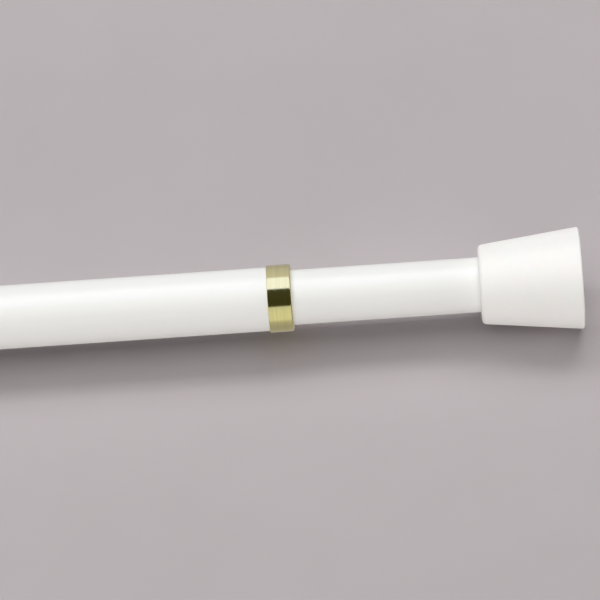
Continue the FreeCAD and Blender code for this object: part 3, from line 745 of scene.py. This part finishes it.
# Open sprung ring: an eased rectangle carried round from one side of the opening to the other.
# Its bore steps out over two round notches: a ray at the angle a from a notch leaves its circle
# at bore cos a + sqrt(notch^2 - (bore sin a)^2). Angles run from the opening's middle.
def makeClip():
    bore, outside, notch = clip["bore"], clip["outside"], clip["notch"]
    width = outside - bore
    section = softened([(0, 0), (0, width), (clip["thickness"], width), (clip["thickness"], 0)],
                       clip["edgeRound"], steps=4)
    share = np.linspace(0, 1, clip["stations"])[:, None]
    turn, notchAt = fullTurn * share, math.radians(clip["notchAngle"])
    away = np.minimum(np.abs(turn - notchAt), np.abs(turn - (fullTurn - notchAt)))
    stepped = bore * np.cos(away) + np.sqrt(np.clip(notch ** 2 - (bore * np.sin(away)) ** 2, 0, None))
    inNotch = away < math.asin(notch / bore)
    inner = np.where(inNotch, np.maximum(stepped, bore), bore)
    radius = inner + (outside - inner) * section[:, 1] / width
    limit = np.arcsin(clip["openingHalf"] / radius)
    angle = fullTurn / 4 + limit + (fullTurn - 2 * limit) * share
    grid = aboutAxis(startOf("retaining_clip") + section[:, 0], radius, angle)
    place(addSurface("retainingClipSteel", grid, False), "lock_shaft", "spring_steel",
          "retaining_clip")


makeClip()
print("stop screw and clip made")

spring = {
    "coilRadius": 5.4, "wireRadius": 0.6, "turns": 8, "closedPitch": 1.224,
    "closedTurns": 0.8, "easingTurns": 0.4, "perTurn": 56, "aroundWire": 16, "shortest": 20.6,
}


# Round wire carried along a helix. It is close-wound over closedTurns at each end and open
# between, with a smooth step s^2 (3 - 2 s) over easingTurns from one to the other. Both ends are
# ground flat by clipping to the node's two ends.
def makeSpring():
    low, high = startOf("compression_spring"), endOf("compression_spring")
    turn = np.linspace(0, spring["turns"], spring["turns"] * spring["perTurn"] + 1)
    fromEnd = np.minimum(turn, spring["turns"] - turn)
    ramp = np.clip((fromEnd - spring["closedTurns"]) / spring["easingTurns"], 0, 1)
    opened = ramp * ramp * (3 - 2 * ramp)
    step = np.diff(turn)
    opening = (opened[1:] + opened[:-1]) / 2
    closed = spring["closedPitch"] * step
    rise = (high - low - closed.sum()) * opening * step / (opening * step).sum()
    along = low + np.concatenate([[0], np.cumsum(closed + rise)])
    outward = aboutAxis(0, 1, fullTurn * turn)
    centre = outward * spring["coilRadius"]
    centre[:, 0] = along
    heading = np.gradient(centre, axis=0)
    heading /= np.linalg.norm(heading, axis=1)[:, None]
    sideways = np.cross(heading, outward)
    angle = evenTurn(spring["aroundWire"])[None, :, None]
    wire = outward[:, None] * np.cos(angle) + sideways[:, None] * np.sin(angle)
    grid = centre[:, None] + spring["wireRadius"] * wire
    grid[..., 0] = np.clip(grid[..., 0], low, high)
    piece = addSurface("springSteelCoil", grid, False, crease=50)
    place(piece, "lock_shaft", "spring_steel", "compression_spring")
    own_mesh(piece)


makeSpring()
print("spring made")

stage = {
    "floorColour": (0.478, 0.438, 0.45), "floorMottle": 0.012, "floorMottleScale": 35.0,
    "floorRoughness": 0.9, "floorSpecular": 0.15, "floorHalf": 20.0, "floorGap": 0.00002,
    "lampsAlong": 0.34,
    # degrees that each lamp leans back from straight up, the compass turn it leans at (0 is back,
    # 90 is the fixed end), its distance from the axis at lampsAlong, and its size along and across
    "lamps": {
        "topSoftbox": {"lean": -7.5, "turn": 0.0, "distance": 1.2, "size": (1.7, 1.145), "power": 7.7,
                       "colour": (1.0, 1.0, 1.0)},
        "backStrip": {"lean": 25.0, "turn": 0.0, "distance": 1.2, "size": (1.7, 0.295), "power": 6.9,
                      "colour": (1.0, 1.0, 1.0)},
        "farBackStrip": {"lean": 37.0, "turn": 0.0, "distance": 1.2, "size": (1.7, 0.36), "power": 4.1,
                         "colour": (1.0, 1.0, 1.0)},
        "lowFrontFill": {"lean": -82.0, "turn": 0.0, "distance": 3.0, "size": (3.6, 0.6), "power": 48.0,
                         "colour": (1.0, 0.985, 0.96)},
        "fixedEndFill": {"lean": 84.0, "turn": 90.0, "distance": 3.0, "size": (1.2, 0.5), "power": 12.0,
                         "colour": (1.0, 1.0, 1.0)},
        "slidingEndFill": {"lean": 84.0, "turn": -90.0, "distance": 3.0, "size": (1.2, 0.5),
                           "power": 12.0, "colour": (1.0, 1.0, 1.0)},
    },
    "ambient": 0.065, "ambientColour": (1.0, 0.99, 0.985), "seenColour": (0.485, 0.447, 0.457),
    # what the room looks like in the metals, by degrees over the front horizon: floor, a pale card
    # low in front, the dark room, the ceiling box and the wall behind
    "mirrored": [(-180, (0.44, 0.42, 0.42)), (-62, (0.36, 0.34, 0.30)), (-40, (0.45, 0.43, 0.36)),
                 (-28, (0.70, 0.68, 0.54)), (0, (0.69, 0.68, 0.54)), (20, (0.62, 0.62, 0.52)),
                 (24, (0.042, 0.039, 0.012)), (81, (0.052, 0.052, 0.028)), (85, (1.03, 1.08, 1.38)),
                 (124, (1.03, 1.08, 1.38)), (129, (0.61, 0.59, 0.61)), (180, (0.48, 0.47, 0.49))],
    "roomEnd": (0.1, 0.095, 0.06), "endStarts": 0.73, "endFull": 0.76,
}


# A paper floor just under the tips. It is clear from below, so that low views still see the rod.
def makeFloor():
    half, height = stage["floorHalf"], cadLow.z - stage["floorGap"]
    mesh = bpy.data.meshes.new("studioFloor")
    corners = [(-half, -half, height), (half, -half, height),
               (half, half, height), (-half, half, height)]
    mesh.from_pydata(corners, [], [(0, 1, 2, 3)])
    floor = bpy.data.objects.new("studioFloor", mesh)
    bpy.context.scene.collection.objects.link(floor)
    material = bpy.data.materials.new("studioPaper")
    material.use_nodes = True
    tree = material.node_tree
    shader = tree.nodes["Principled BSDF"]
    origin = addNode(tree, "ShaderNodeTexCoord")
    light, dark = (tuple(c * level for c in stage["floorColour"]) + (1,)
                   for level in (1 + stage["floorMottle"], 1 - stage["floorMottle"]))
    tone = addNode(tree, "ShaderNodeGroup", {
        "Vector": origin.outputs["Object"], "Scale": stage["floorMottleScale"],
        "Light Tone": light, "Dark Tone": dark}, node_tree=mottleGroup)
    tree.links.new(tone.outputs["Color"], shader.inputs["Base Color"])
    shader.inputs["Roughness"].default_value = stage["floorRoughness"]
    shader.inputs["Specular IOR Level"].default_value = stage["floorSpecular"]
    facing = addNode(tree, "ShaderNodeNewGeometry")
    clear = addNode(tree, "ShaderNodeBsdfTransparent")
    either = addNode(tree, "ShaderNodeMixShader", {
        0: facing.outputs["Backfacing"], 1: shader.outputs[0], 2: clear.outputs[0]})
    tree.links.new(either.outputs[0], tree.nodes["Material Output"].inputs["Surface"])
    mesh.materials.append(material)
    floor.visible_glossy = False              # the metals mirror the world's own floor


# Soft light for the shading alone: the metals mirror the room that the world draws.
def makeLamp(name, look):
    lean, turn = math.radians(look["lean"]), math.radians(look["turn"])
    lamp = bpy.data.lights.new(name, "AREA")
    lamp.shape = "RECTANGLE"
    lamp.size, lamp.size_y = look["size"]
    lamp.energy, lamp.color = look["power"], look["colour"]
    holder = bpy.data.objects.new(name, lamp)
    reach = look["distance"] * math.sin(lean)
    holder.location = (stage["lampsAlong"] - reach * math.sin(turn), reach * math.cos(turn),
                       look["distance"] * math.cos(lean))
    holder.rotation_euler = (-lean, 0, turn)
    holder.visible_camera = False
    holder.visible_glossy = False
    bpy.context.scene.collection.objects.link(holder)


# Even ambient light. Metals mirror a plain room: dark in front, a bright ceiling box, walls behind.
# The room's colour is a ramp over the angle atan2(up, forward) of the mirrored ray, and darkens
# towards the room's end where the ray's share along X goes from endStarts to endFull.
def makeWorld():
    world = bpy.data.worlds.new("studioRoom")
    bpy.context.scene.world = world
    world.use_nodes = True
    tree = world.node_tree
    background = tree.nodes["Background"]
    background.inputs["Color"].default_value = (*stage["ambientColour"], 1)
    background.inputs["Strength"].default_value = stage["ambient"]
    direction = addNode(tree, "ShaderNodeTexCoord")
    split = addNode(tree, "ShaderNodeSeparateXYZ", {0: direction.outputs["Generated"]})
    front = addNode(tree, "ShaderNodeMath", {0: split.outputs["Y"], 1: -1.0}, operation="MULTIPLY")
    angle = addNode(tree, "ShaderNodeMath", {
        0: split.outputs["Z"], 1: front.outputs[0]}, operation="ARCTAN2")
    share = addNode(tree, "ShaderNodeMapRange", {
        "Value": angle.outputs[0], "From Min": -math.pi, "From Max": math.pi})
    ramp = addNode(tree, "ShaderNodeValToRGB", {0: share.outputs["Result"]})
    stops = ramp.color_ramp.elements
    for degrees, colour in stage["mirrored"][1:-1]:
        stops.new((degrees + 180) / 360)
    for stop, (degrees, colour) in zip(stops, stage["mirrored"]):
        stop.position = (degrees + 180) / 360
        stop.color = (*colour, 1)
    endward = addNode(tree, "ShaderNodeMapRange", {
        "Value": split.outputs["X"], "From Min": stage["endStarts"], "From Max": stage["endFull"]})
    room = addNode(tree, "ShaderNodeMix", {
        "Factor": endward.outputs["Result"], 6: ramp.outputs["Color"], 7: (*stage["roomEnd"], 1)},
        data_type="RGBA")
    mirrored = addNode(tree, "ShaderNodeBackground", {"Color": room.outputs[2], "Strength": 1.0})
    seen = addNode(tree, "ShaderNodeBackground", {"Color": (*stage["seenColour"], 1), "Strength": 1.0})
    rays = addNode(tree, "ShaderNodeLightPath")
    glossy = addNode(tree, "ShaderNodeMixShader", {
        0: rays.outputs["Is Glossy Ray"], 1: background.outputs[0], 2: mirrored.outputs[0]})
    camera = addNode(tree, "ShaderNodeMixShader", {
        0: rays.outputs["Is Camera Ray"], 1: glossy.outputs[0], 2: seen.outputs[0]})
    tree.links.new(camera.outputs[0], tree.nodes["World Output"].inputs["Surface"])


photo = {
    "elevation": 50.0, "distance": 1.24413, "along": 0.46325,
    "turnLeft": 1.362, "tilt": -0.035, "roll": -3.924, "lens": 300.0, "sensor": 36.0,
    "clip": (0.05, 60.0),
}


# Two unit vectors turned in their own plane: first towards second.
def swung(first, second, degrees):
    angle = math.radians(degrees)
    return (first * math.cos(angle) + second * math.sin(angle),
            second * math.cos(angle) - first * math.sin(angle))


# Stands square to the rod at the measured distance, then turns, tilts and rolls as the photograph does.
def makeCamera():
    elevation = math.radians(photo["elevation"])
    forward = Vector((0, math.cos(elevation), -math.sin(elevation)))
    right = Vector((1, 0, 0))
    up = right.cross(forward)
    position = Vector((photo["along"], 0, 0)) - forward * photo["distance"]
    right, forward = swung(right, forward, photo["turnLeft"])
    forward, up = swung(forward, up, photo["tilt"])
    right, up = swung(right, up, photo["roll"])
    data = bpy.data.cameras.new("photoCamera")
    data.lens, data.sensor_width = photo["lens"], photo["sensor"]
    data.clip_start, data.clip_end = photo["clip"]
    camera = bpy.data.objects.new("photoCamera", data)
    turned = Matrix((right, up, -forward)).transposed().to_4x4()
    camera.matrix_world = Matrix.Translation(position) @ turned
    bpy.context.scene.collection.objects.link(camera)
    bpy.context.scene.camera = camera


makeFloor()
for name, look in stage["lamps"].items():
    makeLamp(name, look)
makeWorld()
makeCamera()
bpy.context.scene.view_settings.view_transform = "Standard"
print("stage made")
